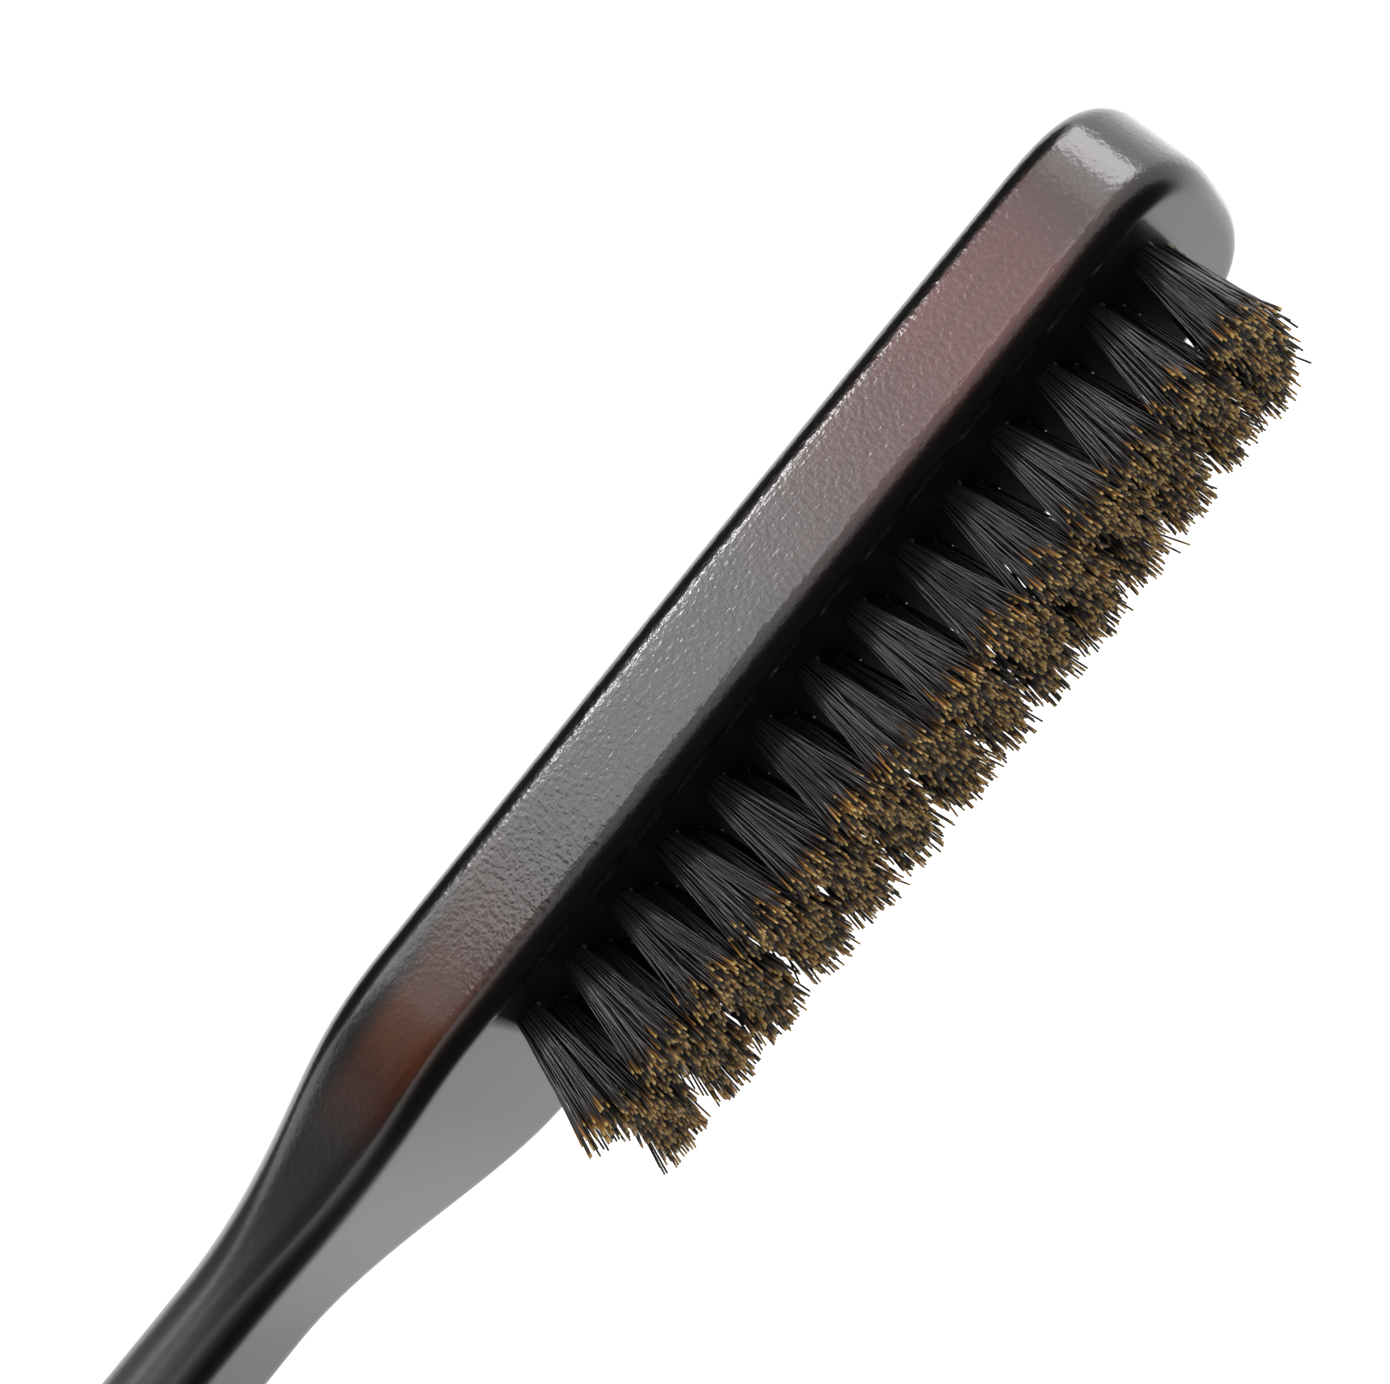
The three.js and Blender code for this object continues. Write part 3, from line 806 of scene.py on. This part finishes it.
    # Every point of every bristle is put where it belongs
    read = {name: addNode(tree, "GeometryNodeInputNamedAttribute", {"Name": name}, data_type=kind)
            for name, kind in (("offset", "FLOAT_VECTOR"), ("bend", "FLOAT_VECTOR"), ("root", "FLOAT_VECTOR"),
                               ("flare", "FLOAT_VECTOR"), ("lean", "FLOAT_VECTOR"), ("unit", "FLOAT_VECTOR"),
                               ("exposed", "FLOAT"))}
    unit = addNode(tree, "ShaderNodeSeparateXYZ", {0: read["unit"]})
    along = addNode(tree, "ShaderNodeMath", {0: unit.outputs["Z"], 1: 0.5}, operation="ADD")
    whole = addNode(tree, "ShaderNodeMath", {0: read["exposed"], 1: given["In Hole"]}, operation="ADD")
    height = addNode(tree, "ShaderNodeMath", {0: along, 1: whole}, operation="MULTIPLY")
    height = addNode(tree, "ShaderNodeMath", {0: height, 1: given["In Hole"]}, operation="SUBTRACT")
    above = addNode(tree, "ShaderNodeMath", {0: height, 1: 0.0}, operation="MAXIMUM")
    risen = addNode(tree, "ShaderNodeMath", {0: above, 1: given["Length"]}, operation="DIVIDE")
    opened = addNode(tree, "ShaderNodeMath", {0: risen, 1: given["Opening"]}, operation="POWER")
    curled = addNode(tree, "ShaderNodeMath", {0: risen, 1: 2.0}, operation="POWER")
    widen = addNode(tree, "ShaderNodeVectorMath", {0: read["flare"], "Scale": opened}, operation="SCALE")
    spread = addNode(tree, "ShaderNodeVectorMath", {0: widen, 1: read["offset"], 2: read["offset"]},
                     operation="MULTIPLY_ADD")
    lean = addNode(tree, "ShaderNodeVectorMath", {0: read["lean"], "Scale": above}, operation="SCALE")
    curve = addNode(tree, "ShaderNodeVectorMath", {0: read["bend"], "Scale": curled}, operation="SCALE")
    taper = addNode(tree, "ShaderNodeMapRange", {
        "Value": along, "To Min": given["Thickness"], "To Max": given["End Thickness"]})
    girth = addNode(tree, "ShaderNodeMath", {0: taper, 1: 0.5}, operation="MULTIPLY")
    flat = addNode(tree, "ShaderNodeCombineXYZ", {"X": unit.outputs["X"], "Y": unit.outputs["Y"]})
    ring = addNode(tree, "ShaderNodeVectorMath", {0: flat, "Scale": girth}, operation="SCALE")
    place = addNode(tree, "ShaderNodeCombineXYZ", {"Z": height})
    for part in (read["root"], spread, lean, curve, ring):
        place = addNode(tree, "ShaderNodeVectorMath", {0: place, 1: part}, operation="ADD")
    rods = addNode(tree, "GeometryNodeSetPosition", {"Geometry": rods, "Position": place})
    shown = addNode(tree, "ShaderNodeMath", {0: above, 1: read["exposed"]}, operation="DIVIDE")
    rods = addNode(tree, "GeometryNodeStoreNamedAttribute", {
        "Geometry": rods, "Name": "along", "Value": shown}, data_type="FLOAT", domain="POINT")
    for name in ("offset", "bend", "root", "unit", "exposed", "flare", "lean", "trim"):
        rods = addNode(tree, "GeometryNodeRemoveAttribute", {"Geometry": rods, "Name": name})
    return endTree(tree, rods, material)


def runTree(name, places, tree, values, material):
    # Gives the tree its sizes, takes its result as a plain mesh, and drops the modifier
    made = makeObject(name, places)
    modifier = made.modifiers.new("nodes", "NODES")
    modifier.node_group = tree
    for item in tree.interface.items_tree:
        if item.in_out == "INPUT" and item.name in values:
            modifier[item.identifier] = values[item.name]
    mesh = plainMesh(made, name)
    made.modifiers.clear()
    made.data = mesh
    if not mesh.materials:
        mesh.materials.append(material)
    return made


def tuftPlaces(line, rows):
    # The roots of one group of tufts, each with how far its bristles flare and lean and how short they are cut
    f, t = tuftField, tuft
    holes = holePlaces(line)
    mesh = bpy.data.meshes.new("tuft_places")
    mesh.from_pydata([(holes[r][0] * mm, holes[r][1] * mm, bodyHigh.z) for r in rows], [], [])
    for name, kind in (("flare", "FLOAT_VECTOR"), ("lean", "FLOAT_VECTOR"), ("trim", "FLOAT")):
        mesh.attributes.new(name, kind, "POINT")
    # Fetched only now, because adding an attribute moves those made before it
    flare, lean, trim = (mesh.attributes[name].data for name in ("flare", "lean", "trim"))
    neckShare = max(0, 1 - (f["lines"] - 1 - line) / t["leanLines"])
    tipShare = max(0, 1 - line / t["leanLines"])
    along = -math.tan(math.radians(t["neckLean"] * neckShare)) - math.tan(math.radians(t["tipLean"] * tipShare))
    sway = math.tan(math.radians(t["sway"]))
    for i, row in enumerate(rows):
        draw = random.Random(100 * line + row)
        trim[i].value = t["tipTrim"] * max(0, 1 - line / t["trimLines"]) * mm
        side = 1 - 2 * row / (f["rows"] - 1)
        flare[i].vector = (t["flareAlong"] - 1, t["flareAcross"] - 1, 0)
        lean[i].vector = (along + sway * draw.uniform(-1, 1),
                          side * math.tan(math.radians(t["outerLean"])) + sway * draw.uniform(-1, 1), 0)
    return mesh


rowGroups = {"left": [0, 1], "centre": [2], "right": [3, 4]}


def makeTufts(material):
    tree = bristleTree(material)
    total = 0
    for line in range(tuftField["lines"]):
        for order, (side, rows) in enumerate(rowGroups.items()):
            name = f"{line + 1:02d}_{side}"
            made = runTree("bristles_" + name, tuftPlaces(line, rows), tree, {
                "Bristles": tuft["bristles"], "Sides": tuft["sides"], "Rings": tuft["rings"],
                "Seed": 10 * (3 * line + order), "Root Radius": tuft["rootRadius"] * mm,
                "Thickness": tuft["thickness"] * mm, "End Thickness": tuft["endThickness"] * mm,
                "Length": tuft["length"] * mm, "Length Spread": tuft["lengthSpread"] * mm,
                "Loss Power": tuft["lossPower"], "Crown": tuft["crown"] * mm, "In Hole": tuft["inHole"] * mm,
                "Opening": tuft["opening"], "Swirl": tuft["swirl"], "Bend": tuft["bend"] * mm,
                "Stray Share": tuft["strays"], "Stray Bend": tuft["strayBend"] * mm}, material)
            total += len(made.data.polygons)
            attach(made, "root")
            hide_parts("tufts_" + name)
    print("tufts:", total, "faces")


# ---- Anchor wires

anchor = {
    "thickness": 0.34,
    "reach": 1.2,         # from the middle of the hole to the leg that shows, which bites into its wall
    "proud": 0.22,        # the end stands this much above the face
    "depth": 5.0,
    "shortLeg": 2.5,      # the other leg ends this far down
    "shortReach": 0.8,    # and stands this share of the reach from the middle
    "sharpAngle": 50,
    "sides": 8,
    "steps": 12,
}


def anchorTree(material):
    # Each place is a hole. The result is a small bent staple down its wall and across its floor.
    tree, given = startTree("anchor wire", (
        ("Thickness", "Float"), ("Reach", "Float"), ("Proud", "Float"), ("Depth", "Float"),
        ("Short Leg", "Float"), ("Sides", "Int"), ("Steps", "Int")))
    # Handles 4/3 of the depth down bring the bend itself about as deep as that
    pull = addNode(tree, "ShaderNodeMath", {0: given["Depth"], 1: -4 / 3}, operation="MULTIPLY")
    backReach = addNode(tree, "ShaderNodeMath", {0: given["Reach"], 1: -anchor["shortReach"]},
                        operation="MULTIPLY")
    shortEnd = addNode(tree, "ShaderNodeMath", {0: given["Short Leg"], 1: -1.0}, operation="MULTIPLY")
    bent = addNode(tree, "GeometryNodeCurvePrimitiveBezierSegment", {
        "Resolution": given["Steps"],
        "Start": addNode(tree, "ShaderNodeCombineXYZ", {"X": given["Reach"], "Z": given["Proud"]}),
        "Start Handle": addNode(tree, "ShaderNodeCombineXYZ", {"X": given["Reach"], "Z": pull}),
        "End Handle": addNode(tree, "ShaderNodeCombineXYZ", {"X": backReach, "Z": pull}),
        "End": addNode(tree, "ShaderNodeCombineXYZ", {"X": backReach, "Z": shortEnd})}, mode="POSITION")
    half = addNode(tree, "ShaderNodeMath", {0: given["Thickness"], 1: 0.5}, operation="MULTIPLY")
    profile = addNode(tree, "GeometryNodeCurvePrimitiveCircle", {"Resolution": given["Sides"], "Radius": half},
                      mode="RADIUS")
    staple = addNode(tree, "GeometryNodeCurveToMesh", {
        "Curve": bent, "Profile Curve": profile, "Fill Caps": True})
    placed = addNode(tree, "GeometryNodeInstanceOnPoints", {"Points": given["Places"], "Instance": staple})
    return endTree(tree, placed, material)


def makeAnchors(material):
    tree = anchorTree(material)
    for line in range(tuftField["lines"]):
        places = bpy.data.meshes.new("holes")
        places.from_pydata([(x * mm, y * mm, bodyHigh.z) for x, y in holePlaces(line)], [], [])
        made = runTree(f"anchor_wires_{line + 1:02d}", places, tree, {
            "Thickness": anchor["thickness"] * mm, "Reach": anchor["reach"] * mm, "Proud": anchor["proud"] * mm,
            "Depth": anchor["depth"] * mm, "Short Leg": anchor["shortLeg"] * mm,
            "Sides": anchor["sides"], "Steps": anchor["steps"]}, material)
        made.data.set_sharp_from_angle(angle=math.radians(anchor["sharpAngle"]))
        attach(made, "root")
    print("anchor wires:", tuftField["lines"], "lines of", tuftField["rows"])


makeCamera()
makeStudio()
wood, hair, wire = lacqueredWood(), boarBristle(), drawnWire()
makeBody(wood)
makeTufts(hair)
makeAnchors(wire)
